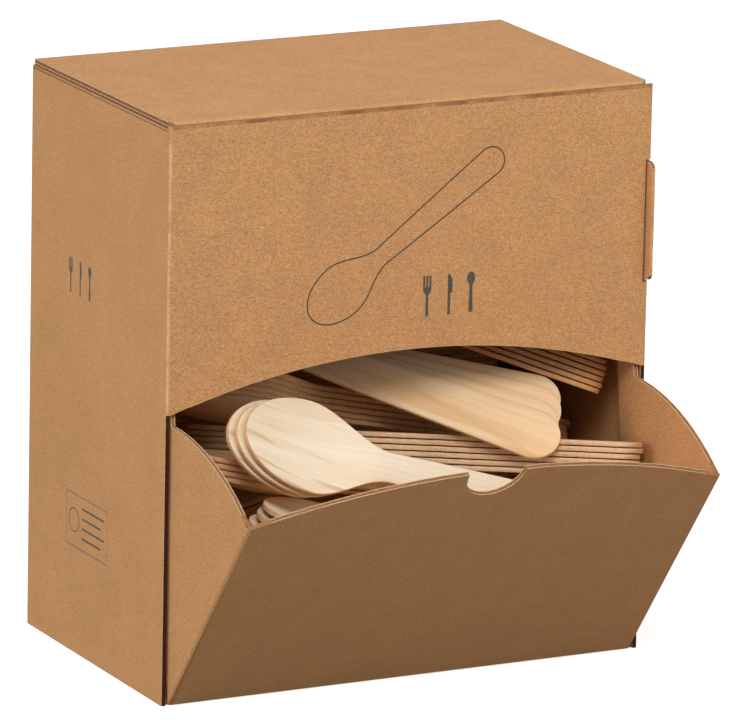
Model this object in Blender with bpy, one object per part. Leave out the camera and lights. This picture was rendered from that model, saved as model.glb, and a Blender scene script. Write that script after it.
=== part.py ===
# Kraft dispenser carton with a hinged lid and a tilting chute, full of wooden spoons.
# Metres, Z up, front towards -Y. The origin is the middle of the carton's base.
import math

import bmesh
import bpy
from mathutils import Matrix, Vector

# Carton, outside sizes, and its folded board
box_width = 0.186
box_depth = 0.113
box_height = 0.205
board = 0.0016
fold_radius = 0.0012
gap = 0.0003
overcut = 0.002
sliver = 0.00005

# Mouth, the opening under the arched front panel
mouth_end_height = 0.1033
mouth_rise = 0.0149
raw_edge_setback = 0.0006

# Corner tab that pokes forward through a slot beside the front panel
tab_low = 0.1345
tab_high = 0.1765
tab_reach = 0.0030
tab_root = 0.0040
tab_round = 0.0027
slot_gap = 0.0009

# Lid with its tuck, over two dust flaps
lid_side_inset = 0.0012
lid_corner_cut = 0.0022
lid_fold_radius = 0.0020
tuck_length = 0.0200
tuck_lean = math.radians(6)
tuck_side_inset = 0.0030
tuck_corner_radius = 0.0080
dust_flap_length = 0.0420
dust_flap_front_gap = 0.0070
dust_flap_back_gap = 0.0020
dust_flap_corner_cut = 0.0060

# Chute, a front panel and two wings in one folded sheet
chute_angle = math.radians(38)
chute_side_gap = 0.0008
chute_top_gap = 0.0006
chute_end_height = 0.0985
chute_fold_radius = 0.0018
wing_radius = 0.0980
lug_radius = 0.1060
lug_start = math.radians(38.8)
lug_slope = math.radians(0.6)
lug_chamfer = 0.0040
wing_end = math.radians(45)
notch_radius = 0.0109
notch_depth = 0.0130
notch_offset = -0.0024

# Spoons
spoon_length = 0.160
spoon_thickness = 0.0017
bowl_half_width = 0.0175
bowl_centre = 0.026
bowl_depth = 0.0034
pit_shift = 0.002
wall_share = 0.62
wall_depth_share = 0.72
shoulder = 0.022
neck_place = 0.060
neck_flat = 0.006
neck_half_width = 0.0058
handle_half_width = 0.0092

# Colours, linear
kraft_colour = (0.515, 0.275, 0.120, 1)
birch_colour = (0.740, 0.530, 0.320, 1)


def new_collection(name, shown):
    collection = bpy.data.collections.new(name)
    collection.hide_render = not shown
    bpy.context.scene.collection.children.link(collection)
    return collection


def new_material(name, colour, roughness):
    material = bpy.data.materials.new(name)
    material.use_nodes = True
    shader = material.node_tree.nodes["Principled BSDF"]
    shader.inputs["Base Color"].default_value = colour
    shader.inputs["Roughness"].default_value = roughness
    shader.inputs["Metallic"].default_value = 0
    material.diffuse_color = colour
    return material


def arc(centre, radius, start, end, steps):
    """Points on a circle from one angle to another, both in radians."""
    turn = (end - start) / steps
    angles = [start + turn * step for step in range(steps + 1)]
    return [(centre[0] + radius * math.cos(a), centre[1] + radius * math.sin(a)) for a in angles]


def rectangle(left, right, low, high):
    return [(left, low), (right, low), (right, high), (left, high)]


# How an outline's two axes and its thickness lie in the part
plan_view = Matrix.Identity(4)
front_view = Matrix(((1, 0, 0, 0), (0, 0, -1, 0), (0, 1, 0, 0), (0, 0, 0, 1)))
side_view = Matrix(((0, 0, 1, 0), (1, 0, 0, 0), (0, 1, 0, 0), (0, 0, 0, 1)))


def prism(name, outline, view, low, high, collection):
    """A flat outline, given in one view, made solid from low to high along that view's line."""
    curve = bpy.data.curves.new(name, "CURVE")
    curve.dimensions = "2D"
    curve.fill_mode = "BOTH"
    curve.extrude = (high - low) / 2
    spline = curve.splines.new("POLY")
    spline.points.add(len(outline) - 1)
    for point, (across, up) in zip(spline.points, outline):
        point.co = (across, up, 0, 1)
    spline.use_cyclic_u = True
    holder = bpy.data.objects.new(name + "_outline", curve)
    bpy.context.scene.collection.objects.link(holder)
    bpy.context.view_layer.update()
    mesh = bpy.data.meshes.new_from_object(holder.evaluated_get(bpy.context.evaluated_depsgraph_get()))
    bpy.data.objects.remove(holder)
    bpy.data.curves.remove(curve)
    middle = (low + high) / 2
    if view == front_view:
        middle = -middle
    form = bmesh.new()
    form.from_mesh(mesh)
    bmesh.ops.remove_doubles(form, verts=form.verts, dist=1e-7)
    bmesh.ops.transform(form, matrix=view @ Matrix.Translation((0, 0, middle)), verts=form.verts)
    bmesh.ops.recalc_face_normals(form, faces=form.faces)
    form.to_mesh(mesh)
    form.free()
    mesh.name = name
    thing = bpy.data.objects.new(name, mesh)
    collection.objects.link(thing)
    return thing


def combine(target, tool, operation):
    """A live Boolean; the tool rides with its target and is only shown as wire."""
    step = target.modifiers.new(tool.name, "BOOLEAN")
    step.operation = operation
    step.solver = "EXACT"
    step.object = tool
    tool.parent = target
    tool.display_type = "WIRE"
    tool.hide_render = True


def finish(thing, material, location=(0, 0, 0), turn=(0, 0, 0)):
    thing.data.materials.clear()
    thing.data.materials.append(material)
    thing.location = location
    thing.rotation_euler = turn


def arch_outline(half_width, low, end_height, rise, steps):
    """A region with straight sides under a shallow arc that peaks at its middle."""
    radius = (half_width ** 2 + rise ** 2) / (2 * rise)
    half_angle = math.asin(half_width / radius)
    centre = (0, end_height + rise - radius)
    start = math.pi / 2 - half_angle
    top = arc(centre, radius, start, math.pi / 2 + half_angle, steps)
    return [(-half_width, low), (half_width, low)] + top


def make_carton(shown, cutters, material):
    half_width = box_width / 2
    half_depth = box_depth / 2
    inner_x = half_width - board
    inner_y = half_depth - board
    seat = box_height - board - gap
    quarter = math.pi / 2

    corners = [(half_width, half_depth), (-half_width, half_depth)]
    corners += [(-half_width, -half_depth), (half_width, -half_depth)]
    plan = []
    for place, (x, y) in enumerate(corners):
        centre = (x - math.copysign(fold_radius, x), y - math.copysign(fold_radius, y))
        plan += arc(centre, fold_radius, place * quarter, (place + 1) * quarter, 3)
    carton = prism("carton", plan, plan_view, 0, box_height - board / 2, shown)

    floor = rectangle(-inner_x, inner_x, -inner_y, inner_y)
    room = prism("room", floor, plan_view, board, box_height + overcut, cutters)
    combine(carton, room, "DIFFERENCE")

    # The side walls bend over as dust flaps, cut level with the back wall just under the lid
    tip = inner_x - dust_flap_length
    front = -inner_y + dust_flap_front_gap
    back = inner_y - dust_flap_back_gap
    root = half_width - board / 2
    cut = dust_flap_corner_cut
    flap = [(root, front), (root, back), (tip + cut, back), (tip, back - cut)]
    flap += [(tip, front + cut), (tip + cut, front)]
    for side, sign in (("right", 1), ("left", -1)):
        outline = [(sign * x, y) for x, y in flap]
        dust_flap = prism(side + "_dust_flap", outline, plan_view, seat - board, seat + board / 4, cutters)
        combine(carton, dust_flap, "UNION")
    out = half_width + overcut
    left_bend = arc((-half_width + fold_radius, seat - fold_radius), fold_radius, math.pi, quarter, 3)
    right_bend = arc((half_width - fold_radius, seat - fold_radius), fold_radius, quarter, 0, 3)
    over = [(-out, box_height + overcut), (-out, seat - fold_radius)] + left_bend
    over += right_bend + [(out, seat - fold_radius), (out, box_height + overcut)]
    seat_cut = prism("seat_cut", over, front_view, -inner_y - sliver, half_depth + overcut, cutters)
    combine(carton, seat_cut, "DIFFERENCE")

    # The mouth leaves the side walls with raw front edges and clears the chute's fold
    for side, sign in (("right", 1), ("left", -1)):
        ends = sorted((sign * (inner_x - overcut), sign * out))
        edge = rectangle(ends[0], ends[1], -overcut, mouth_end_height)
        edge_face = -half_depth + raw_edge_setback
        edge_cut = prism(side + "_edge_cut", edge, front_view, -half_depth - overcut, edge_face, cutters)
        combine(carton, edge_cut, "DIFFERENCE")
    mouth = arch_outline(inner_x + sliver, -overcut, mouth_end_height, mouth_rise, 24)
    mouth_cut = prism("mouth_cut", mouth, front_view, -half_depth - overcut, -inner_y + gap, cutters)
    combine(carton, mouth_cut, "DIFFERENCE")

    slot = rectangle(inner_x - slot_gap, half_width + overcut, tab_low - slot_gap, tab_high + slot_gap)
    slot_cut = prism("slot_cut", slot, front_view, -half_depth - overcut, -inner_y + gap, cutters)
    combine(carton, slot_cut, "DIFFERENCE")
    nose = -half_depth - tab_reach
    tab = [(-inner_y + tab_root, tab_low), (-inner_y + tab_root, tab_high)]
    tab += arc((nose + tab_round, tab_high - tab_round), tab_round, quarter, math.pi, 4)
    tab += arc((nose + tab_round, tab_low + tab_round), tab_round, math.pi, 3 * quarter, 4)
    corner_tab = prism("corner_tab", tab, side_view, inner_x + sliver, half_width - sliver, cutters)
    combine(carton, corner_tab, "UNION")
    finish(carton, material)


def make_lid(shown, cutters, material):
    """Built round its hinge line, the top back edge of the carton."""
    hinge = (0, box_depth / 2, box_height - board - gap / 2)
    top = box_height - hinge[2]
    under = top - board
    front = -box_depth + board + gap
    half_width = box_width / 2 - lid_side_inset
    cut = lid_corner_cut
    past = cut + overcut
    plan = [(-half_width, 0), (-half_width, front + cut), (past - half_width, front - overcut)]
    plan += [(half_width - past, front - overcut), (half_width, front + cut), (half_width, 0)]
    lid = prism("lid", plan, plan_view, -tuck_length - 2 * board, top + overcut, shown)

    centre = (front + lid_fold_radius, top - lid_fold_radius)
    down = Vector((math.sin(tuck_lean), -math.cos(tuck_lean)))
    end = math.pi + tuck_lean
    outer = arc(centre, lid_fold_radius, math.pi / 2, end, 5)
    inner = arc(centre, lid_fold_radius - board, end, math.pi / 2, 5)
    outer_tip = Vector(outer[-1]) + down * tuck_length
    inner_tip = Vector(inner[0]) + down * tuck_length
    profile = [(overcut, top)] + outer + [tuple(outer_tip), tuple(inner_tip)] + inner + [(overcut, under)]
    bend = prism("lid_profile", profile, side_view, -box_width, box_width, cutters)
    combine(lid, bend, "INTERSECT")

    tuck_half = half_width - tuck_side_inset
    low = -tuck_length - board
    radius = tuck_corner_radius
    step = under - gap / 3
    face = [(-box_width, top + overcut), (-box_width, step), (-tuck_half, step)]
    face += arc((radius - tuck_half, low + radius), radius, math.pi, math.pi * 1.5, 5)
    face += arc((tuck_half - radius, low + radius), radius, -math.pi / 2, 0, 5)
    face += [(tuck_half, step), (box_width, step), (box_width, top + overcut)]
    tuck = prism("lid_face", face, front_view, -box_depth - overcut, overcut, cutters)
    combine(lid, tuck, "INTERSECT")
    finish(lid, material, hinge)


def make_chute(shown, cutters, material):
    """Built shut and round its hinge line, then tilted out to its stop."""
    hinge = (0, -box_depth / 2 + board / 2, board / 2 + gap / 3)
    half_width = box_width / 2 - board - chute_side_gap
    skin = board / 2
    radius = chute_fold_radius
    reach = lug_radius
    left = arc((radius - half_width, radius - skin), radius, math.pi, math.pi * 1.5, 4)
    right = arc((half_width - radius, radius - skin), radius, -math.pi / 2, 0, 4)
    outside = [(-half_width, reach)] + left + right + [(half_width, reach)]
    inner_half = half_width - board
    inner_radius = radius - board
    inner_left = arc((inner_radius - inner_half, skin + inner_radius), inner_radius, math.pi, math.pi * 1.5, 2)
    inner_right = arc((inner_half - inner_radius, skin + inner_radius), inner_radius, -math.pi / 2, 0, 2)
    inside = [(inner_half, reach)] + inner_right[::-1] + inner_left[::-1] + [(-inner_half, reach)]
    peak = mouth_end_height + mouth_rise
    chute = prism("chute_flap", outside + inside, plan_view, -board, peak, shown)

    # Angles in the side view are measured back from straight up
    def polar(distance, angle):
        return (distance * math.sin(angle), distance * math.cos(angle))

    side = [(-skin, 0), (-skin, peak + overcut), (skin, peak + overcut)]
    first = math.asin(skin / wing_radius)
    steps = 12
    for step in range(steps + 1):
        side.append(polar(wing_radius, first + (lug_start - lug_slope - first) * step / steps))
    side.append(polar(lug_radius, lug_start))
    side.append(polar(lug_radius, wing_end - lug_chamfer / lug_radius))
    side.append(polar(lug_radius - lug_chamfer, wing_end))
    side.append(polar(skin, wing_end))
    side += arc((0, 0), skin, math.pi / 2 - wing_end, -math.pi, 8)[1:]
    wings = prism("wing_profile", side, side_view, -box_width, box_width, cutters)
    combine(chute, wings, "INTERSECT")

    crown = mouth_end_height + mouth_rise - hinge[2] - chute_top_gap
    face = arch_outline(half_width, -board, chute_end_height, crown - chute_end_height, 24)
    bottom_left, bottom_right, *top = face
    notch_centre = (notch_offset, crown - notch_depth + notch_radius)
    notch = arc(notch_centre, notch_radius, 0, -math.pi, 10)
    before = [point for point in top if point[0] > notch_offset + notch_radius]
    after = [point for point in top if point[0] < notch_offset - notch_radius]
    right_lip = (notch_offset + notch_radius, before[-1][1])
    left_lip = (notch_offset - notch_radius, after[0][1])
    outline = [bottom_left, bottom_right] + before + [right_lip] + notch + [left_lip] + after
    face_cut = prism("chute_face", outline, front_view, -board, lug_radius + overcut, cutters)
    combine(chute, face_cut, "INTERSECT")
    finish(chute, material, hinge, (chute_angle, 0, 0))


def half_width_at(place):
    """Half the spoon's width at a distance from the bowl's tip."""
    if place <= bowl_centre:
        return bowl_half_width * math.sqrt(max(0, 1 - ((place - bowl_centre) / bowl_centre) ** 2))
    if place <= neck_place:
        share = (place - bowl_centre) / (neck_place - bowl_centre)
        swell = (bowl_half_width - neck_half_width) * (0.5 + 0.5 * math.cos(math.pi * share))
        return neck_half_width + swell
    share = (place - neck_place) / (spoon_length - handle_half_width - neck_place)
    return neck_half_width + (handle_half_width - neck_half_width) * min(1, share) ** 0.8


def spoon_mesh(name, thickness):
    """One spoon, or a tight stack of them, with its origin at the middle of the top rim."""
    tip_turns = [math.radians(angle) for angle in (28, 52, 74)]
    places = [bowl_centre * (1 - math.cos(turn)) for turn in tip_turns]
    places += [bowl_centre + shoulder * step / 3 for step in range(4)]
    bowl = [(place - bowl_centre, half_width_at(place)) for place in places]
    rim = [(-bowl_centre, 0)] + bowl
    rim += [(x, -y) for x, y in reversed(bowl)]

    form = bmesh.new()
    rim_verts = [form.verts.new((x, y, 0)) for x, y in rim]
    wall = []
    for x, y in rim:
        inward = pit_shift + wall_share * (x - pit_shift)
        wall.append(form.verts.new((inward, wall_share * y, -wall_depth_share * bowl_depth)))
    pit = form.verts.new((pit_shift, 0, -bowl_depth))
    count = len(rim)
    for place in range(count):
        after = (place + 1) % count
        form.faces.new((rim_verts[place], wall[place], wall[after], rim_verts[after]))
        form.faces.new((wall[place], pit, wall[after]))

    end_place = spoon_length - handle_half_width
    stations = [neck_place - neck_flat, neck_place + neck_flat, (neck_place + end_place) / 2, end_place]
    upper = [rim_verts[len(bowl)]]
    lower = [rim_verts[len(bowl) + 1]]
    for place in stations:
        half = half_width_at(place)
        upper.append(form.verts.new((place - bowl_centre, half, 0)))
        lower.append(form.verts.new((place - bowl_centre, -half, 0)))
    for place in range(len(stations)):
        form.faces.new((upper[place], lower[place], lower[place + 1], upper[place + 1]))
    centre = (end_place - bowl_centre, 0)
    cap = arc(centre, handle_half_width, math.pi / 2, -math.pi / 2, 6)[1:-1]
    cap_verts = [form.verts.new((x, y, 0)) for x, y in cap]
    form.faces.new([lower[-1]] + cap_verts[::-1] + [upper[-1]])
    under = bmesh.ops.extrude_face_region(form, geom=form.faces[:], use_keep_orig=True)["geom"]
    sunk = [piece for piece in under if isinstance(piece, bmesh.types.BMVert)]
    bmesh.ops.translate(form, verts=sunk, vec=(0, 0, -thickness))
    bmesh.ops.recalc_face_normals(form, faces=form.faces)
    mesh = bpy.data.meshes.new(name)
    form.to_mesh(mesh)
    form.free()
    return mesh


def place_spoon(name, pose, thickness, shown, material):
    spoon = bpy.data.objects.new(name, spoon_mesh(name, thickness))
    shown.objects.link(spoon)
    finish(spoon, material)
    spoon.matrix_world = pose


def spoon_turn(yaw, pitch, roll):
    """Heading of the handle, how far it dips and how far the spoon leans, in degrees."""
    turn = Matrix.Rotation(math.radians(yaw), 4, "Z")
    turn = turn @ Matrix.Rotation(math.radians(pitch), 4, "Y")
    return turn @ Matrix.Rotation(math.radians(roll), 4, "X")


# Heaps of loose spoons, in millimetres and degrees: bowl centre of the lowest spoon, heading,
# dip and lean, how many, the step between them, and the fan and slide from one to the next
heaps = {
    "front_spoon": dict(bowl=(-47, -62, 88), turn=(0, 19, 54), count=3, step=2.9, fan=0, slide=2.6),
    "chute_spoon": dict(bowl=(-42, -68, 59.4), turn=(14, 15, 10), count=3, step=3.3, fan=0, slide=2),
    "edge_spoon": dict(bowl=(-52, -43, 74.2), turn=(6, 13, -4), count=4, step=2.1, fan=0, slide=0),
    "right_spoon": dict(bowl=(-35.5, -11, 72), turn=(-26, 1.5, -14), count=6, step=2.1, fan=0, slide=0),
    "left_spoon": dict(bowl=(-45, -12, 91.3), turn=(0, 13, -24), count=6, step=2.1, fan=0, slide=0),
    "top_spoon": dict(bowl=(-52, 14, 117), turn=(-30, 11, 50), count=4, step=2.3, fan=-2.6, slide=1),
    "back_spoon": dict(bowl=(-35.5, 1, 138), turn=(-20, 20, -10), count=6, step=2.1, fan=0.4, slide=0),
    "low_spoon": dict(bowl=(-52, -1, 40.4), turn=(4, 0, 0), count=9, step=2.1, fan=0, slide=0),
}


def make_heap(name, heap, shown, material):
    pose = spoon_turn(*heap["turn"])
    bowl = Vector(heap["bowl"]) / 1000
    for number in range(heap["count"]):
        rise = Vector((heap["slide"], 0, heap["step"])) * number / 1000
        fan = Matrix.Rotation(math.radians(heap["fan"] * number), 4, "Z")
        place = Matrix.Translation(bowl) @ pose @ Matrix.Translation(rise) @ fan
        place_spoon(f"{name}_{number + 1}", place, spoon_thickness, shown, material)


# Tight stacks under the heaps: where the bowls lie from front to back, and how many spoons
stacks = {
    "front_stack": dict(bowl=(-52, -36.5), count=10),
    "middle_stack": dict(bowl=(-52, -1), count=19),
    "back_stack": dict(bowl=(-52, 36), count=56),
}


def make_stack(name, stack, shown, material):
    height = stack["count"] * spoon_thickness
    top = board + gap + bowl_depth + height
    x, y = stack["bowl"]
    place = Matrix.Translation((x / 1000, y / 1000, top))
    place_spoon(name, place, height, shown, material)


def main():
    for thing in list(bpy.data.objects):
        bpy.data.objects.remove(thing)
    shown = new_collection("spoon_dispenser", True)
    cutters = new_collection("cutters", False)
    kraft = new_material("kraft_board", kraft_colour, 0.85)
    birch = new_material("birch_wood", birch_colour, 0.6)
    make_carton(shown, cutters, kraft)
    make_lid(shown, cutters, kraft)
    make_chute(shown, cutters, kraft)
    for name, stack in stacks.items():
        make_stack(name, stack, shown, birch)
    for name, heap in heaps.items():
        make_heap(name, heap, shown, birch)


main()
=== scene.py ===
import math
import random

import bmesh
import bpy
from mathutils import Matrix, Vector
from mathutils.bvhtree import BVHTree


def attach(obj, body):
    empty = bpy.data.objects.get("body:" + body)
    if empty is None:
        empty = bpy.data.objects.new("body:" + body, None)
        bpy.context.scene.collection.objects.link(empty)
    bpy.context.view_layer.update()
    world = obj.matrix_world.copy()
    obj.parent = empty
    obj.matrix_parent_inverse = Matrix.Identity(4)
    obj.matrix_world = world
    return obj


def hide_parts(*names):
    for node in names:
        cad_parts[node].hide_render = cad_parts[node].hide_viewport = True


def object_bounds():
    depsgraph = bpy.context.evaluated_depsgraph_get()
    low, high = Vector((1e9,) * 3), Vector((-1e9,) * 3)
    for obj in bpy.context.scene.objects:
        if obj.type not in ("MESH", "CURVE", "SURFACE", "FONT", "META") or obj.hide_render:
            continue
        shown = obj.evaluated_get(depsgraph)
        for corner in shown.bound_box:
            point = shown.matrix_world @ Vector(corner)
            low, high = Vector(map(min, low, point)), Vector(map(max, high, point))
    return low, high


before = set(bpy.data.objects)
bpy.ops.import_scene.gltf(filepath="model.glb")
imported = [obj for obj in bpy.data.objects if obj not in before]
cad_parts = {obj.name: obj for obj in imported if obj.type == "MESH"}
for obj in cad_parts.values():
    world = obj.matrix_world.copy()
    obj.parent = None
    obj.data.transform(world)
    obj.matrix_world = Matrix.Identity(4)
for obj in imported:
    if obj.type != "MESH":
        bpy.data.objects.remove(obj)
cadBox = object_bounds()
print("frame loaded:", len(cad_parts), "nodes")

boxHalfWidth = 0.093
boxHalfDepth = 0.0565
boardThickness = 0.0016
mouthEndHeight = 0.1033  # where the arched mouth meets the side walls


# Small helpers for node trees

def newMaterial(name, roughness):
    material = bpy.data.materials.new(name)
    material.use_nodes = True
    shader = material.node_tree.nodes["Principled BSDF"]
    shader.inputs["Roughness"].default_value = roughness
    return material, material.node_tree, shader


def feed(tree, socket, value):
    if isinstance(value, bpy.types.NodeSocket):
        tree.links.new(value, socket)
    else:
        socket.default_value = value


def mathNode(tree, operation, a, b=0.0):
    node = tree.nodes.new("ShaderNodeMath")
    node.operation = operation
    feed(tree, node.inputs[0], a)
    feed(tree, node.inputs[1], b)
    return node.outputs[0]


def plus(tree, a, b):
    return mathNode(tree, "ADD", a, b)


def times(tree, a, b):
    return mathNode(tree, "MULTIPLY", a, b)


def mixShares(tree, a, b, shareOfB):
    return plus(tree, times(tree, a, 1 - shareOfB), times(tree, b, shareOfB))


def spread(tree, value, low, high, toLow=0.0, toHigh=1.0):
    node = tree.nodes.new("ShaderNodeMapRange")
    node.interpolation_type = "SMOOTHSTEP"
    feed(tree, node.inputs["Value"], value)
    for name, number in (("From Min", low), ("From Max", high), ("To Min", toLow), ("To Max", toHigh)):
        node.inputs[name].default_value = number
    return node.outputs["Result"]


def objectCoords(tree):
    return tree.nodes.new("ShaderNodeTexCoord").outputs["Object"]


def stretched(tree, vector, scale, shift=(0, 0, 0)):
    node = tree.nodes.new("ShaderNodeMapping")
    feed(tree, node.inputs["Vector"], vector)
    node.inputs["Scale"].default_value = scale
    node.inputs["Location"].default_value = shift
    return node.outputs["Vector"]


def noise(tree, vector, scale=1.0, detail=3.0, roughness=0.5, distortion=0.0):
    node = tree.nodes.new("ShaderNodeTexNoise")
    feed(tree, node.inputs["Vector"], vector)
    node.inputs["Scale"].default_value = scale
    node.inputs["Detail"].default_value = detail
    node.inputs["Roughness"].default_value = roughness
    node.inputs["Distortion"].default_value = distortion
    return node.outputs["Fac"]


def ramp(tree, factor, stops):
    node = tree.nodes.new("ShaderNodeValToRGB")
    feed(tree, node.inputs["Fac"], factor)
    while len(node.color_ramp.elements) < len(stops):
        node.color_ramp.elements.new(0.5)
    for element, (place, colour) in zip(node.color_ramp.elements, stops):
        element.position = place
        element.color = (*colour, 1)
    return node.outputs["Color"]


def blendColour(tree, factor, a, b, mode="MIX"):
    node = tree.nodes.new("ShaderNodeMix")
    node.data_type = "RGBA"
    node.blend_type = mode
    feed(tree, node.inputs["Factor"], factor)
    feed(tree, node.inputs["A"], a)
    feed(tree, node.inputs["B"], b)
    return node.outputs["Result"]


def splitXyz(tree, vector):
    node = tree.nodes.new("ShaderNodeSeparateXYZ")
    feed(tree, node.inputs[0], vector)
    return node.outputs


def grey(tree, value):
    node = tree.nodes.new("ShaderNodeCombineColor")
    for place in range(3):
        feed(tree, node.inputs[place], value)
    return node.outputs[0]


def bumpOn(tree, shader, height, distance, previous=None):
    node = tree.nodes.new("ShaderNodeBump")
    node.inputs["Distance"].default_value = distance
    feed(tree, node.inputs["Height"], height)
    if previous is not None:
        feed(tree, node.inputs["Normal"], previous)
    feed(tree, shader.inputs["Normal"], node.outputs["Normal"])
    return node.outputs["Normal"]


# Small helpers for pieces

def addObject(name, data):
    made = bpy.data.objects.new(name, data)
    bpy.context.scene.collection.objects.link(made)
    return made


def meshObject(name, form, materials):
    mesh = bpy.data.meshes.new(name)
    form.to_mesh(mesh)
    form.free()
    for material in materials:
        mesh.materials.append(material)
    return addObject(name, mesh)


# Kraft board

kraftLook = {
    "pale": (0.740, 0.435, 0.208),
    "base": (0.615, 0.314, 0.127),
    "dark": (0.440, 0.195, 0.072),
    "stops": (0.39, 0.485, 0.52, 0.62),  # of the fibre noise, from dark to pale
    "fleck": (0.230, 0.100, 0.036),
    "fleckShare": 0.35,
    "roughness": 0.84,
    "specular": 0.28,
    "fibreScale": {"Y": (1300, 2500, 2500), "Z": (1300, 1300, 2500)},
    "fineScale": 3600.0,
    "fineShare": 0.4,
    "fleckScale": (1500, 1500, 900),
    "mottleScale": 70.0,
    "cloudScale": 11.0,
    "flutePitch": 0.0033,
    "fluteShade": 0.007,
    "fluteDrift": 0.0007,
    "fluteHeight": 0.000008,
    "fibreHeight": 0.00006,
    "creaseWidth": 0.0011,
    "rub": (0.80, 0.56, 0.33),
    "rubShare": 0.75,
    # painted shadow: the dark line under the lid's fold, between these heights and close to the front face
    "seam": (0.2028, 0.2032),  # heights between which the line under the lid's fold sets in
    "seamFace": (-0.0560, -0.0564),
    "foldShadowStrength": (0.25, 0.85),
}


def rubbedCorners(tree, coords, colour):
    # Folded corners are rubbed paler, in broken lines
    look = kraftLook
    x, y = splitXyz(tree, coords)[:2]
    offX = mathNode(tree, "SUBTRACT", boxHalfWidth, mathNode(tree, "ABSOLUTE", x))
    offY = mathNode(tree, "SUBTRACT", boxHalfDepth, mathNode(tree, "ABSOLUTE", y))
    corner = spread(tree, mathNode(tree, "MAXIMUM", offX, offY), 0.0002, look["creaseWidth"], 1.0, 0.0)
    broken = noise(tree, stretched(tree, coords, (300, 300, 160)), 1.0, 4.0, 0.7)
    rub = times(tree, times(tree, corner, spread(tree, broken, 0.42, 0.60)), look["rubShare"])
    return blendColour(tree, rub, colour, (*look["rub"], 1))


def lidFoldShadow(tree, coords, colour):
    # Painted shadow: the lid's fold throws a dark line on the top of the front panel, painted in the fleck
    # colour
    look = kraftLook
    y, z = splitXyz(tree, coords)[1:3]
    seam = times(tree, spread(tree, z, *look["seam"]), spread(tree, y, *look["seamFace"]))
    wander = noise(tree, stretched(tree, coords, (90, 90, 90)), 1.0, 2.0)
    uneven = spread(tree, wander, 0.35, 0.65, *look["foldShadowStrength"])
    return blendColour(tree, times(tree, seam, uneven), colour, (*look["fleck"], 1))


def kraftMaterial(name, fluteAxis, wornAndShadowed):
    look = kraftLook
    material, tree, shader = newMaterial(name, look["roughness"])
    coords = objectCoords(tree)
    fibre = noise(tree, stretched(tree, coords, look["fibreScale"][fluteAxis]), 1.0, 5.0, 0.62, 0.4)
    fine = noise(tree, coords, look["fineScale"], 2.0, 0.6)
    mottle = noise(tree, coords, look["mottleScale"], 4.0, 0.6)
    cloud = noise(tree, coords, look["cloudScale"], 2.0)
    mixed = mixShares(tree, fibre, fine, look["fineShare"])
    shades = ("dark", "base", "base", "pale")
    colour = ramp(tree, mixed, [(stop, look[shade]) for stop, shade in zip(look["stops"], shades)])
    fleck = noise(tree, stretched(tree, coords, look["fleckScale"]), 1.0, 1.0)
    fleck = times(tree, spread(tree, fleck, 0.71, 0.78), look["fleckShare"])
    colour = blendColour(tree, fleck, colour, (*look["fleck"], 1))

    # The flutes inside show through as a faint washboard
    across = splitXyz(tree, coords)[fluteAxis]
    drifted = plus(tree, across, times(tree, mottle, look["fluteDrift"]))
    wave = mathNode(tree, "SINE", times(tree, drifted, 2 * math.pi / look["flutePitch"]))
    shade = times(tree, wave, look["fluteShade"])
    shade = plus(tree, shade, spread(tree, mottle, 0.3, 0.7, 0.955, 1.035))
    shade = times(tree, shade, spread(tree, cloud, 0.3, 0.7, 0.975, 1.02))
    colour = blendColour(tree, 1.0, colour, grey(tree, shade), "MULTIPLY")
    # The rubbed corners are wear; the line under the lid's fold is painted shadow
    if wornAndShadowed:
        colour = lidFoldShadow(tree, coords, rubbedCorners(tree, coords, colour))

    feed(tree, shader.inputs["Base Color"], colour)
    rough = spread(tree, fibre, 0.3, 0.7, look["roughness"] - 0.07, look["roughness"] + 0.06)
    feed(tree, shader.inputs["Roughness"], rough)
    shader.inputs["Specular IOR Level"].default_value = look["specular"]
    first = bumpOn(tree, shader, mixed, look["fibreHeight"])
    bumpOn(tree, shader, wave, look["fluteHeight"], first)
    return material


# Raw edges: dark colour, pale colour, roughness and noise scale of each
edgeLooks = {
    # painted shade: near black for the side walls' raw edges in the slit beside the chute
    "slitShade": ((0.018, 0.007, 0.003), (0.060, 0.024, 0.010), 0.95, 1500),
    # the cut face: partly the raw board's own darker colour, partly painted shade of the hollows between the
    # flutes
    "cutBoardHollowShade": ((0.260, 0.115, 0.045), (0.430, 0.215, 0.095), 0.95, 1500),
    "cutLiner": ((0.580, 0.350, 0.170), (0.780, 0.560, 0.340), 0.9, 2200),
    # the flute line: partly the medium's own darker paper, partly painted shade of the flute hollows
    "cutFluteHollowShade": ((0.180, 0.075, 0.028), (0.330, 0.150, 0.060), 0.9, 2200),
}
edgeHeight = 0.00008


def plainFibreMaterial(name, dark, pale, roughness, scale):
    material, tree, shader = newMaterial(name, roughness)
    fibre = noise(tree, objectCoords(tree), scale, 4.0, 0.65)
    feed(tree, shader.inputs["Base Color"], ramp(tree, fibre, [(0.3, dark), (0.7, pale)]))
    shader.inputs["Specular IOR Level"].default_value = 0.2
    bumpOn(tree, shader, fibre, edgeHeight)
    return material


kraftWalls = kraftMaterial("kraftWalls", "Z", True)
kraftLid = kraftMaterial("kraftLid", "Y", False)
kraftChute = kraftMaterial("kraftChute", "Z", False)
rawEdges = {name: plainFibreMaterial(name, *look) for name, look in edgeLooks.items()}
print("board materials made")

# The raised liners and the flute drawn on a raw edge
boardEdge = {
    "linerShare": 0.15,  # of the board's thickness
    "fluteShare": 0.15,
    "rise": 0.00014,
    "fluteRise": 0.7,  # of the liners' rise
    "fray": 0.00005,
    "step": 0.00055,
    "wobble": 0.0005,
}
boardSort = {
    "skinBehind": (0.5, 1.3),  # how far behind a skin the other one lies, in board thicknesses
    "sheetWidth": 1.25,
    "rawWidth": (0.6, 1.7),
    "cornerReach": 1.2,
    "frontPlace": -0.05,
    "hingeReach": 0.003,
    "baseReach": 0.001,
    "mergeDistance": 0.000002,
    "sharpAngle": 38,
}


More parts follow.
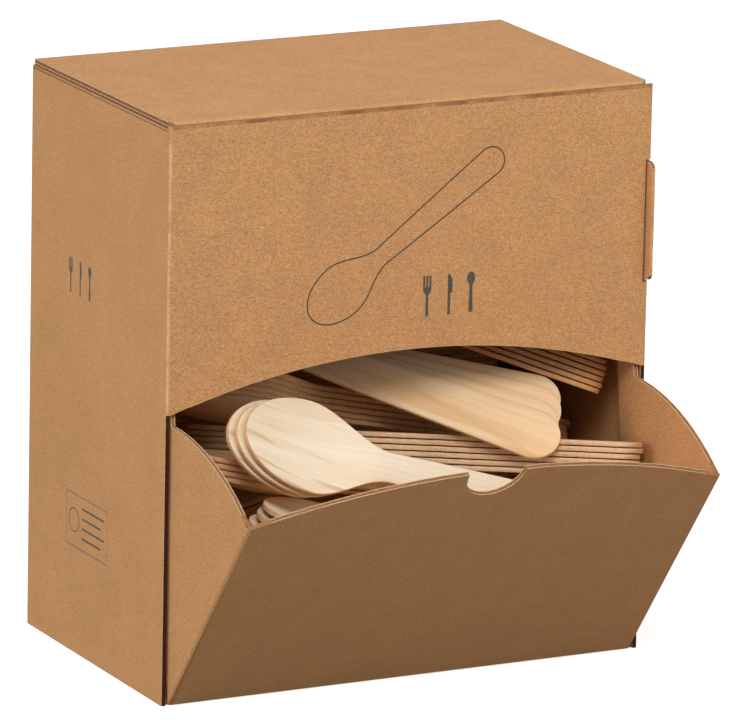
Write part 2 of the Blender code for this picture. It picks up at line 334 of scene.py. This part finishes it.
def sheetFaces(form):
    # A face is the sheet's outside if it is wider than the board is thick, or has the far skin one
    # board behind it
    tree = BVHTree.FromBMesh(form)
    near, far = (share * boardThickness for share in boardSort["skinBehind"])
    skins = set()
    for face in form.faces:
        spot = face.calc_center_median_weighted()
        hit = tree.ray_cast(spot - face.normal * 1e-5, -face.normal)
        behind = hit[0] is not None and near < hit[3] < far
        width = 2 * face.calc_area() / face.calc_perimeter()
        if behind or width > boardSort["sheetWidth"] * boardThickness:
            skins.add(face)
    return skins


def facesFront(face):
    return face.normal.y < -0.9 and face.calc_center_median().y < boardSort["frontPlace"]


def atSideCorner(face):
    reach = boxHalfWidth - boardSort["cornerReach"] * boardThickness
    return facesFront(face) and abs(face.calc_center_median().x) > reach


def inSlit(face):
    # The side walls' raw front edges lie in the slit beside the chute, where they are painted near black as the
    # slit's shade
    return atSideCorner(face) and face.calc_center_median().z < mouthEndHeight


def splitSlit(form):
    # Above the mouth the same corner is a fold, with the liner running round it
    faces = [face for face in form.faces if facesFront(face)]
    parts = faces + list({edge for face in faces for edge in face.edges})
    parts += list({vert for face in faces for vert in face.verts})
    bmesh.ops.bisect_plane(form, geom=parts, dist=1e-6, plane_co=(0, 0, mouthEndHeight), plane_no=(0, 0, 1))
    form.normal_update()


def edgeStrip(out, start, end, outward, materialIndex):
    # start and end are the two rails of the strip, as lists of points
    rows = []
    for a, b, lift in zip(start, end, outward):
        rows.append([out.verts.new(p) for p in (a, a + lift, b + lift, b)])
    for one, two in zip(rows, rows[1:]):
        for place in range(3):
            face = out.faces.new((one[place], one[place + 1], two[place + 1], two[place]))
            face.material_index = materialIndex


def bareEdge(nodeName, face):
    # No raised liners where the lid and the back wall roll on each other, on a folded corner or under
    # the base
    spot = face.calc_center_median()
    if nodeName == "lid":
        return spot.y > -boardSort["hingeReach"]
    return spot.z < boardSort["baseReach"] or (nodeName == "carton" and atSideCorner(face))


def rawEdgeRails(face, skins):
    # The two long edges of a raw face that touch the sheet's skins, end to end, or None
    edges = list(face.edges)
    onSkin = [any(other in skins for other in edge.link_faces if other != face) for edge in edges]
    pairs = [pair for pair in ((0, 2), (1, 3)) if onSkin[pair[0]] and onSkin[pair[1]]]
    if not pairs:
        return None
    pair = max(pairs, key=lambda p: edges[p[0]].calc_length())
    width = min(edges[1 - pair[0] % 2].calc_length(), edges[3 - pair[0] % 2].calc_length())
    least, most = (share * boardThickness for share in boardSort["rawWidth"])
    if not least < width < most:
        return None
    a0, a1 = [v.co.copy() for v in edges[pair[0]].verts]
    b0, b1 = [v.co.copy() for v in edges[pair[1]].verts]
    if (a0 - b0).length > (a0 - b1).length:
        b0, b1 = b1, b0
    return a0, a1, b0, b1


def addCutEdges(nodeName, form, skins, fluteOf, rng):
    look = boardEdge
    share = look["linerShare"]
    half = look["fluteShare"] / 2
    out = bmesh.new()
    for face in form.faces:
        if face in skins or len(face.verts) != 4 or bareEdge(nodeName, face):
            continue
        rails = rawEdgeRails(face, skins)
        if rails is None:
            continue
        a0, a1, b0, b1 = rails
        count = max(1, round((a1 - a0).length / look["step"]))
        lift = face.normal * look["rise"]
        stations = [(a0.lerp(a1, n / count), b0.lerp(b1, n / count)) for n in range(count + 1)]
        lifts = [lift + face.normal * rng.uniform(0, look["fray"]) for n in stations]
        edgeStrip(out, [a for a, b in stations], [a.lerp(b, share) for a, b in stations], lifts, 0)
        edgeStrip(out, [b.lerp(a, share) for a, b in stations], [b for a, b in stations], lifts, 0)
        mids = []
        for a, b in stations:
            wobble = look["wobble"] * math.sin(900 * a.x + 700 * a.y)
            turn = 2 * math.pi * (fluteOf(a) + wobble) / kraftLook["flutePitch"]
            mids.append(0.5 + (0.5 - share - half) * math.sin(turn))
        low = [a.lerp(b, m - half) for (a, b), m in zip(stations, mids)]
        high = [a.lerp(b, m + half) for (a, b), m in zip(stations, mids)]
        edgeStrip(out, low, high, [face.normal * look["rise"] * look["fluteRise"]] * len(stations), 1)
    return out


def boardSlot(nodeName, face, skins):
    # 0 is the kraft skin, 1 a raw edge and 2 a side wall's raw edge in the slit beside the chute, painted near
    # black as shade
    if face in skins:
        return 0
    if nodeName == "carton" and atSideCorner(face):
        return 2 if inSlit(face) else 0
    return 1


def dressBoard(nodeName, kraft, place, fluteOf, seed):
    # The sheet is set in its own axes, so that its grain and flutes follow it
    form = bmesh.new()
    form.from_mesh(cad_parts[nodeName].data)
    form.transform(place.inverted())
    bmesh.ops.remove_doubles(form, verts=form.verts, dist=boardSort["mergeDistance"])
    bmesh.ops.dissolve_limit(form, angle_limit=math.radians(0.4), verts=form.verts, edges=form.edges)
    form.normal_update()
    if nodeName == "carton":
        splitSlit(form)
    skins = sheetFaces(form)
    for face in form.faces:
        face.material_index = boardSlot(nodeName, face, skins)
        face.smooth = True
    edges = addCutEdges(nodeName, form, skins, fluteOf, random.Random(seed))

    board = meshObject(nodeName + "Board", form, (kraft, rawEdges["cutBoardHollowShade"], rawEdges["slitShade"]))
    board.data.set_sharp_from_angle(angle=math.radians(boardSort["sharpAngle"]))
    board.modifiers.new("even", "WEIGHTED_NORMAL").keep_sharp = True
    trim = meshObject(nodeName + "CutEdges", edges, (rawEdges["cutLiner"], rawEdges["cutFluteHollowShade"]))
    for piece in (board, trim):
        piece.matrix_world = place
        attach(piece, nodeName)
    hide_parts(nodeName)
    print(nodeName, "board:", len(board.data.polygons), "faces, cut edges:", len(trim.data.polygons))


chuteHinge = Vector((0, -0.0557, 0.0009))
chuteTilt = math.radians(38)
lidHinge = Vector((0, 0.0565, 0.20325))

chutePlace = Matrix.Translation(chuteHinge) @ Matrix.Rotation(chuteTilt, 4, "X")
dressBoard("carton", kraftWalls, Matrix.Identity(4), lambda p: p.z, 3)
dressBoard("lid", kraftLid, Matrix.Translation(lidHinge), lambda p: p.y - p.z, 5)
dressBoard("chute_flap", kraftChute, chutePlace, lambda p: p.z, 7)


# Birch spoons

spoonSize = {
    "length": 0.160,
    "thickness": 0.00168,
    "bowlCentre": 0.026,
    "bowlHalf": 0.0175,
    "bowlDepth": 0.0033,
    "pit": 0.002,
    "dipReach": (0.028, 0.027),  # towards the tip and towards the neck
    "neckPlace": 0.060,
    "neckHalf": 0.0058,
    "handleHalf": 0.0092,
    "edgeRound": 0.00022,
}

birchLook = {
    "pale": (0.900, 0.780, 0.600),
    "base": (0.850, 0.680, 0.470),
    "warm": (0.760, 0.530, 0.310),
    "stops": (0.30, 0.46, 0.62),  # of the grain noise, from warm to pale
    "streak": (0.560, 0.350, 0.130),
    "roughness": 0.62,
    "specular": 0.32,
    "broadScale": (9, 130, 30),
    "lineScale": (26, 900, 90),
    "lineShare": 0.3,
    "poreScale": (240, 3600, 1200),
    "bendScale": (12, 12, 12),
    "streakSkew": 0.16,
    "streakBend": 0.010,
    "streakScale": (14.0, 210.0),
    "dashShare": 0.15,
    "grainHeight": 0.00003,
    "edgePale": (0.780, 0.500, 0.270),
    "edgeDark": (0.500, 0.240, 0.100),
    "edgeStops": (0.32, 0.62),
    "edgeRoughness": 0.8,
    "edgeSpecular": 0.2,
    "layerScale": (60, 60, 2600),
    "chafeScale": (500, 500, 900),
    "chafeShare": 0.4,
    "edgeHeight": 0.00006,
}

# How streaked each sort of birch is, and its tone against the colours above; the tones are partly birch's own
# spoon-to-spoon variation and partly painted light and shade, from a paler copy for lit spoons to darker copies
# as painted shade for heaps deep in the carton
birchSortsAndShades = [
    (0.75, (1.03, 1.05, 1.08)),
    (0.35, (1.00, 1.00, 1.00)),
    (0.30, (0.94, 0.79, 0.63)),
    (0.20, (0.90, 0.72, 0.55)),
    (0.20, (0.84, 0.61, 0.43)),
]
# Rim tones: a paler copy as painted light for rims in light, the plain one, and a darker copy as painted shade
# for heaps deep in the carton
edgeLitAndShadedTones = [(1.12, 1.26, 1.45), (1.0, 1.0, 1.0), (0.85, 0.72, 0.60)]


def birchMaterial(name, seed, streaks, tone):
    look = birchLook
    material, tree, shader = newMaterial(name, look["roughness"])
    shift = (seed * 3.7, seed * 1.3, seed * 2.1)
    coords = stretched(tree, objectCoords(tree), (1, 1, 1), tuple(0.01 * s for s in shift))
    broad = noise(tree, stretched(tree, coords, look["broadScale"], shift), 1.0, 3.0, 0.55, 0.6)
    line = noise(tree, stretched(tree, coords, look["lineScale"], shift), 1.0, 4.0, 0.6, 0.3)
    pore = noise(tree, stretched(tree, coords, look["poreScale"], shift), 1.0, 2.0, 0.5)
    shades = [tuple(c * t for c, t in zip(look[shade], tone)) for shade in ("warm", "base", "pale")]
    colour = ramp(tree, mixShares(tree, broad, line, look["lineShare"]), list(zip(look["stops"], shades)))

    # Long mineral streaks that wander a little off the spoon's axis
    bend = noise(tree, stretched(tree, coords, look["bendScale"], shift), 1.0, 2.0)
    x, y = splitXyz(tree, coords)[:2]
    skew = plus(tree, y, times(tree, x, look["streakSkew"]))
    skew = plus(tree, skew, times(tree, bend, look["streakBend"]))
    band = tree.nodes.new("ShaderNodeCombineXYZ")
    alongScale, acrossScale = look["streakScale"]
    feed(tree, band.inputs[0], times(tree, x, alongScale))
    feed(tree, band.inputs[1], times(tree, skew, acrossScale))
    feed(tree, band.inputs[2], float(seed))
    streak = spread(tree, noise(tree, band.outputs[0], 1.0, 1.0, 0.4), 0.60, 0.70)
    colour = blendColour(tree, times(tree, streak, streaks), colour, (*look["streak"], 1))
    dash = times(tree, spread(tree, pore, 0.66, 0.74), look["dashShare"])
    colour = blendColour(tree, dash, colour, (*look["edgeDark"], 1))

    feed(tree, shader.inputs["Base Color"], colour)
    rough = spread(tree, line, 0.3, 0.7, look["roughness"] - 0.06, look["roughness"] + 0.08)
    feed(tree, shader.inputs["Roughness"], rough)
    shader.inputs["Specular IOR Level"].default_value = look["specular"]
    bumpOn(tree, shader, plus(tree, line, times(tree, pore, 0.4)), look["grainHeight"])
    return material


def birchEdgeMaterial(name, seed, tone):
    look = birchLook
    material, tree, shader = newMaterial(name, look["edgeRoughness"])
    coords = objectCoords(tree)
    shift = (seed * 2.9, seed * 1.7, seed * 3.3)
    layer = noise(tree, stretched(tree, coords, look["layerScale"], shift), 1.0, 3.0, 0.6, 0.5)
    chafe = noise(tree, stretched(tree, coords, look["chafeScale"], shift), 1.0, 3.0, 0.6)
    mixed = mixShares(tree, layer, chafe, look["chafeShare"])
    shades = [tuple(min(0.9, c * t) for c, t in zip(look[shade], tone)) for shade in ("edgeDark", "edgePale")]
    feed(tree, shader.inputs["Base Color"], ramp(tree, mixed, list(zip(look["edgeStops"], shades))))
    shader.inputs["Specular IOR Level"].default_value = look["edgeSpecular"]
    bumpOn(tree, shader, mixed, look["edgeHeight"])
    return material


birchFaces = [birchMaterial("birchFace%d" % n, 3 + 5 * n, *kind) for n, kind in enumerate(birchSortsAndShades)]
birchEdges = [birchEdgeMaterial("birchEdge%d" % n, 2 + 3 * n, tone) for n, tone in enumerate(edgeLitAndShadedTones)]
print("birch materials made")


def roundEnd(offset, radius, half):
    # Half the width of a rounded end, at an offset from its centre
    return half * math.sqrt(max(0, 1 - (offset / radius) ** 2))


def spoonHalfWidth(place):
    size = spoonSize
    centre, neck = size["bowlCentre"], size["neckPlace"]
    bowlHalf, neckHalf, endHalf = size["bowlHalf"], size["neckHalf"], size["handleHalf"]
    end = size["length"] - endHalf
    if place <= centre:
        return roundEnd(place - centre, centre, bowlHalf)
    if place <= neck:
        share = (place - centre) / (neck - centre)
        return neckHalf + (bowlHalf - neckHalf) * (0.5 + 0.5 * math.cos(math.pi * share))
    if place <= end:
        return neckHalf + (endHalf - neckHalf) * ((place - neck) / (end - neck)) ** 0.8
    return roundEnd(place - end, endHalf, endHalf)


def spoonDip(x, share):
    # Depth of the pressed bowl; share is 0 on the middle line and 1 at the rim
    size = spoonSize
    reach = size["dipReach"][0] if x < size["pit"] else size["dipReach"][1]
    run = min(1, abs(x - size["pit"]) / reach)
    return size["bowlDepth"] * (1 - run ** 2) ** 1.35 * (1 - abs(share) ** 2.4)


# Rings over the bowl's front half, down to the neck, along the handle and round its end, and steps across
spoonRings = {"fine": (14, 16, 12, 8, 10), "plain": (6, 6, 3, 4, 4)}


def spoonStations(front, neck, handle, tail):
    centre, neckPlace, endHalf = (spoonSize[name] for name in ("bowlCentre", "neckPlace", "handleHalf"))
    end = spoonSize["length"] - endHalf
    places = [centre * (1 - math.cos(math.radians(6 + 84 * n / front))) for n in range(front)]
    places += [centre + (neckPlace - centre) * n / neck for n in range(neck)]
    places += [neckPlace + (end - neckPlace) * n / handle for n in range(handle)]
    places += [end + endHalf * math.sin(math.radians(84 * n / tail)) for n in range(tail + 1)]
    return places


def addSpoon(form, place, detail, materialBase=0):
    *steps, across = spoonRings[detail]
    shares = [-1 + 2 * n / across for n in range(across + 1)]
    rounding = spoonSize["edgeRound"]
    depth = spoonSize["thickness"]
    rings = []
    for station in spoonStations(*steps):
        x = station - spoonSize["bowlCentre"]
        half = spoonHalfWidth(station)
        flat = max(half - rounding, 0.6 * half)
        top = [(x, share * flat, -spoonDip(x, share)) for share in shares]
        under = [(x, y, z - depth) for x, y, z in reversed(top)]
        right = [(x, half, -rounding), (x, half, rounding - depth)]
        left = [(x, -half, rounding - depth), (x, -half, -rounding)]
        rings.append([form.verts.new(place @ Vector(p)) for p in top + right + under + left])
    count = len(rings[0])
    sides = set(range(across, across + 3)) | set(range(count - 3, count))
    for one, two in zip(rings, rings[1:]):
        for n in range(count):
            m = (n + 1) % count
            face = form.faces.new((one[n], one[m], two[m], two[n]))
            face.smooth = True
            face.material_index = materialBase + (1 if n in sides else 0)
    for ring, order in ((rings[0], -1), (rings[-1], 1)):
        face = form.faces.new(ring[::order])
        face.material_index = materialBase + 1


def finishSpoons(name, form, placed, materials, nodeName):
    bmesh.ops.recalc_face_normals(form, faces=form.faces)
    piece = meshObject(name, form, materials)
    piece.data.set_sharp_from_angle(angle=math.radians(55))
    piece.matrix_world = placed
    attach(piece, "carton")
    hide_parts(nodeName)


def spoonTurn(yaw, pitch, roll):
    turn = Matrix.Rotation(math.radians(yaw), 4, "Z") @ Matrix.Rotation(math.radians(pitch), 4, "Y")
    return turn @ Matrix.Rotation(math.radians(roll), 4, "X")


# Heaps of loose spoons: millimetres and degrees, as in the frame. woods are the two sorts of birch that
# take turns in a heap, and edge is the tone of its rims
# The back and low heaps take the darkest sorts and rim tone as painted shade, and the front heaps the palest
# sort as painted light
spoonHeaps = {
    "front_spoon": dict(bowl=(-47, -62, 88.5), turn=(0, 19, 54), count=3, step=2.4, fan=0, slide=1.7,
                        woods=(0, 1), edge=1),
    "chute_spoon": dict(bowl=(-42, -68, 59.4), turn=(14, 15, 10), count=3, step=3.3, fan=0, slide=2,
                        woods=(1, 0), edge=0),
    "edge_spoon": dict(bowl=(-52, -43, 74.2), turn=(6, 13, -4), count=4, step=2.1, fan=0, slide=0,
                       woods=(2, 3), edge=1),
    "right_spoon": dict(bowl=(-35.5, -11, 72), turn=(-26, 1.5, -14), count=6, step=2.1, fan=0, slide=0,
                        woods=(1, 2), edge=0),
    "left_spoon": dict(bowl=(-45, -12, 91.3), turn=(0, 13, -24), count=6, step=2.1, fan=0, slide=0,
                       woods=(3, 2), edge=1),
    "top_spoon": dict(bowl=(-52, 14, 117), turn=(-30, 11, 50), count=4, step=2.3, fan=-2.6, slide=1,
                      woods=(2, 2), edge=0),
    "back_spoon": dict(bowl=(-35.5, 1, 138), turn=(-20, 20, -10), count=6, step=2.1, fan=0.4, slide=0,
                       woods=(4, 4), edge=2),
    "low_spoon": dict(bowl=(-52, -1, 40.4), turn=(4, 0, 0), count=9, step=2.1, fan=0, slide=0,
                      woods=(3, 4), edge=2),
}
heapJitter = {"along": 0.0007, "across": 0.0003, "turn": 0.25, "sink": 0.0001}

spoonCount = 0
dice = random.Random(21)
for heapName, heap in spoonHeaps.items():
    base = Matrix.Translation(Vector(heap["bowl"]) / 1000) @ spoonTurn(*heap["turn"])
    for number in range(heap["count"]):
        rise = Vector((heap["slide"], 0, heap["step"])) * number / 1000
        along = dice.uniform(-1, 1) * heapJitter["along"]
        across = dice.uniform(-1, 1) * heapJitter["across"]
        turn = heap["fan"] * number + dice.uniform(-1, 1) * heapJitter["turn"]
        shift = Matrix.Translation(rise + Vector((along, across, -heapJitter["sink"])))
        placed = base @ shift @ Matrix.Rotation(math.radians(turn), 4, "Z")
        form = bmesh.new()
        addSpoon(form, Matrix.Identity(4), "fine")
        woods = [birchFaces[heap["woods"][number % 2]], birchEdges[heap["edge"]]]
        finishSpoons("%sWood%d" % (heapName, number + 1), form, placed, woods, "%s_%d" % (heapName, number + 1))
        spoonCount += 1
print("loose spoons:", spoonCount)

# Tight stacks under the heaps: where the bowls lie, and how many
spoonStacks = {
    "front_stack": dict(bowl=(-52, -36.5), count=10),
    "middle_stack": dict(bowl=(-52, -1), count=19),
    "back_stack": dict(bowl=(-52, 36), count=56),
}
stackFit = {"pitch": 0.0017, "foot": 0.0037, "along": 0.0005, "across": 0.0003, "turn": 0.3}

for stackName, stack in spoonStacks.items():
    form = bmesh.new()
    for number in range(stack["count"]):
        along = dice.uniform(-1, 1) * stackFit["along"]
        across = dice.uniform(-1, 1) * stackFit["across"]
        turn = math.radians(dice.uniform(-1, 1) * stackFit["turn"])
        place = Matrix.Translation((along, across, -stackFit["pitch"] * number)) @ Matrix.Rotation(turn, 4, "Z")
        addSpoon(form, place, "plain", 2 * (number % 2))
    woods = [birchFaces[1], birchEdges[0], birchFaces[3], birchEdges[1]]
    top = boardThickness + stackFit["foot"] + stack["count"] * stackFit["pitch"]
    placed = Matrix.Translation((stack["bowl"][0] / 1000, stack["bowl"][1] / 1000, top))
    finishSpoons(stackName + "Wood", form, placed, woods, stackName)
print("stacked spoons:", sum(stack["count"] for stack in spoonStacks.values()))


# Printed line drawings, one dark ink

inkLook = {"colour": (0.055, 0.050, 0.032), "roughness": 0.7, "lineWidth": 0.00055, "lift": 0.00003}


def inkMaterial(name):
    material, tree, shader = newMaterial(name, inkLook["roughness"])
    coords = objectCoords(tree)
    worn = noise(tree, coords, 1800.0, 3.0, 0.6)
    dark = inkLook["colour"]
    pale = tuple(min(1, c * 1.9 + 0.02) for c in dark)
    feed(tree, shader.inputs["Base Color"], ramp(tree, worn, [(0.48, dark), (0.78, pale)]))
    bumpOn(tree, shader, worn, 0.00003)
    return material


printInk = inkMaterial("printInk")


def outlineOfSpoon(length, count=60):
    full = spoonSize["length"]
    scale = length / full
    places = [full * (0.5 - 0.5 * math.cos(math.pi * n / count)) for n in range(count + 1)]
    side = [(place * scale, spoonHalfWidth(place) * scale) for place in places]
    return side + [(x, -y) for x, y in reversed(side[1:-1])]


def ribbon(form, points, width, lift, toWorld, closed=True):
    # A flat printed line along points given on the panel
    count = len(points)
    rows = []
    for n in range(count):
        here = Vector(points[n])
        before = Vector(points[n - 1]) if closed or n else here
        after = Vector(points[(n + 1) % count]) if closed or n < count - 1 else here
        along = (after - before).normalized()
        side = Vector((-along.y, along.x)) * width / 2
        rows.append([form.verts.new(toWorld(here + side, lift)), form.verts.new(toWorld(here - side, lift))])
    for n in range(count if closed else count - 1):
        one, two = rows[n], rows[(n + 1) % count]
        form.faces.new((one[0], one[1], two[1], two[0]))


def patch(form, points, lift, toWorld):
    form.faces.new([form.verts.new(toWorld(Vector(p), lift)) for p in points])


def onFront(p, lift):
    return Vector((p[0], -boxHalfDepth - lift, p[1]))


def onLeft(p, lift):
    return Vector((-boxHalfWidth - lift, -p[0], p[1]))


def forkShape(x, z, tall):
    w = tall * 0.11
    body = [(x - w * 0.35, z), (x + w * 0.35, z), (x + w * 0.30, z + tall * 0.52), (x + w, z + tall * 0.64)]
    tines = []
    for n in range(3):
        left = x + w - n * w * 0.75
        tines += [(left, z + tall), (left - w * 0.5, z + tall), (left - w * 0.5, z + tall * 0.72)]
        if n < 2:
            tines.append((left - w * 0.75, z + tall * 0.72))
    shoulder = [(x - w, z + tall * 0.72), (x - w, z + tall * 0.64), (x - w * 0.30, z + tall * 0.52)]
    return body + tines[:-1] + shoulder


def knifeShape(x, z, tall):
    w = tall * 0.09
    return [(x - w * 0.4, z), (x + w * 0.4, z), (x + w * 0.4, z + tall * 0.5), (x + w, z + tall * 0.56),
            (x + w, z + tall * 0.86), (x + w * 0.4, z + tall * 0.97), (x - w * 0.4, z + tall)]


def smallSpoonShape(x, z, tall):
    points = outlineOfSpoon(tall, 18)
    return [(x + y, z + tall - along) for along, y in points]


def cutleryIcons(form, x, z, tall, gap, toWorld):
    for n, shape in enumerate((forkShape, knifeShape, smallSpoonShape)):
        patch(form, shape(x + n * gap, z, tall), inkLook["lift"], toWorld)


def inkPiece(name, form):
    piece = meshObject(name, form, (printInk,))
    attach(piece, "carton")


frontPrint = {
    "tip": (-0.0388, 0.1328),
    "end": (0.0340, 0.1850),
    "icons": (0.006, 0.1290),
    "iconTall": 0.0145,
    "iconGap": 0.0085,
}
sidePrint = {
    "icons": (-0.022, 0.1290),
    "iconTall": 0.0125,
    "iconGap": 0.0078,
    "frame": (-0.0235, 0.0385, 0.0105, 0.0575),
    "frameLine": 0.0003,
    "bars": 4,
    "barTop": 0.0040,
    "barPitch": 0.0036,
    "barInset": (0.013, 0.0025),
    "barStagger": 0.003,
    "barLine": 0.0008,
    "ringInset": 0.0065,
    "ringRadius": 0.0042,
    "ringLine": 0.0004,
}

form = bmesh.new()
tip = Vector(frontPrint["tip"])
axis = Vector(frontPrint["end"]) - tip
length = axis.length
axis = axis / length
drawn = [tip + axis * along + Vector((-axis.y, axis.x)) * off for along, off in outlineOfSpoon(length)]
ribbon(form, drawn, inkLook["lineWidth"], inkLook["lift"], onFront)
cutleryIcons(form, *frontPrint["icons"], frontPrint["iconTall"], frontPrint["iconGap"], onFront)
inkPiece("frontPrint", form)

form = bmesh.new()
cutleryIcons(form, *sidePrint["icons"], sidePrint["iconTall"], sidePrint["iconGap"], onLeft)
left, low, right, high = sidePrint["frame"]
corners = [(left, low), (right, low), (right, high), (left, high)]
ribbon(form, corners, sidePrint["frameLine"], inkLook["lift"], onLeft)
for n in range(sidePrint["bars"]):
    z = high - sidePrint["barTop"] - n * sidePrint["barPitch"]
    barEnd = right - sidePrint["barInset"][1] - sidePrint["barStagger"] * (n % 2)
    bar = [(left + sidePrint["barInset"][0], z), (barEnd, z)]
    ribbon(form, bar, sidePrint["barLine"], inkLook["lift"], onLeft, False)
centre = Vector((left + sidePrint["ringInset"], (low + high) / 2))
turns = [math.pi * n / 12 for n in range(24)]
ring = [centre + sidePrint["ringRadius"] * Vector((math.cos(turn), math.sin(turn))) for turn in turns]
ribbon(form, ring, sidePrint["ringLine"], inkLook["lift"], onLeft)
inkPiece("sidePrint", form)
print("prints made")


# Floor, light and camera

studio = {
    "floorColour": (0.90, 0.90, 0.90),  # as the camera sees it
    "bounceColour": (0.20, 0.19, 0.18),  # as the object sees it
    "floorGlow": 0.60,
    "floorReach": 6.0,
    "worldStrength": 0.39,
    "keyEnergy": 28.5,
    "keySize": 0.9,
    "keyPlace": (-0.75, -1.55, 1.75),
    "sideEnergy": 13.0,
    "sideSize": 1.0,
    "sidePlace": (-1.9, -0.2, 0.7),
    "fillEnergy": 1.5,
    "fillSize": 0.5,
    "fillPlace": (0.46, -0.66, 0.42),
    "target": (0, 0, 0.08),
}


def cameraOrGloss(tree):
    rays = tree.nodes.new("ShaderNodeLightPath")
    seen = mathNode(tree, "MAXIMUM", rays.outputs["Is Camera Ray"], rays.outputs["Is Glossy Ray"])
    return mathNode(tree, "MAXIMUM", seen, rays.outputs["Is Transmission Ray"])


def makeFloor():
    material, tree, shader = newMaterial("floorPaper", 0.9)
    seen = cameraOrGloss(tree)
    bounce, shown = ((*studio[name], 1) for name in ("bounceColour", "floorColour"))
    feed(tree, shader.inputs["Base Color"], blendColour(tree, seen, bounce, shown))
    shader.inputs["Emission Color"].default_value = (1, 1, 1, 1)
    feed(tree, shader.inputs["Emission Strength"], times(tree, seen, studio["floorGlow"]))
    shader.inputs["Specular IOR Level"].default_value = 0.1
    mesh = bpy.data.meshes.new("floor")
    reach = studio["floorReach"]
    corners = [(-reach, -reach, 0), (reach, -reach, 0), (reach, reach, 0), (-reach, reach, 0)]
    mesh.from_pydata(corners, [], [(0, 1, 2, 3)])
    mesh.materials.append(material)
    floor = addObject("floor", mesh)
    floor.location.z = min(0.0, cadBox[0].z) - 0.0001


def areaLight(name, energy, size, place):
    light = bpy.data.lights.new(name, "AREA")
    light.energy = energy
    light.size = size
    lamp = addObject(name, light)
    lamp.location = place
    towards = Vector(studio["target"]) - Vector(place)
    lamp.rotation_euler = towards.to_track_quat("-Z", "Y").to_euler()


def makeWorld():
    world = bpy.data.worlds.new("studio")
    bpy.context.scene.world = world
    world.use_nodes = True
    tree = world.node_tree
    background = tree.nodes["Background"]
    background.inputs["Color"].default_value = (1, 1, 1, 1)
    dim = studio["worldStrength"]
    feed(tree, background.inputs["Strength"], plus(tree, times(tree, cameraOrGloss(tree), 1 - dim), dim))


makeFloor()
makeWorld()
for lamp in ("key", "side", "fill"):
    areaLight(lamp + "Light", studio[lamp + "Energy"], studio[lamp + "Size"], studio[lamp + "Place"])
print("studio lit")

shot = {
    "right": (0.89251, -0.45056, 0.02054),
    "up": (0.09360, 0.22956, 0.96880),
    "back": (-0.44121, -0.86273, 0.24705),
    "place": (-1.22932, -2.43443, 0.79491),
    "lens": 383.0,
    "sensor": 36,
    "clip": (0.05, 30),
}
camera = bpy.data.cameras.new("photoCamera")
camera.lens = shot["lens"]
camera.sensor_width = shot["sensor"]
camera.clip_start, camera.clip_end = shot["clip"]
cameraObject = addObject("photoCamera", camera)
columns = [shot[name] for name in ("right", "up", "back", "place")]
cameraObject.matrix_world = Matrix([*zip(*columns), (0, 0, 0, 1)])
bpy.context.scene.camera = cameraObject
bpy.context.scene.view_settings.view_transform = "Standard"
print("camera set")
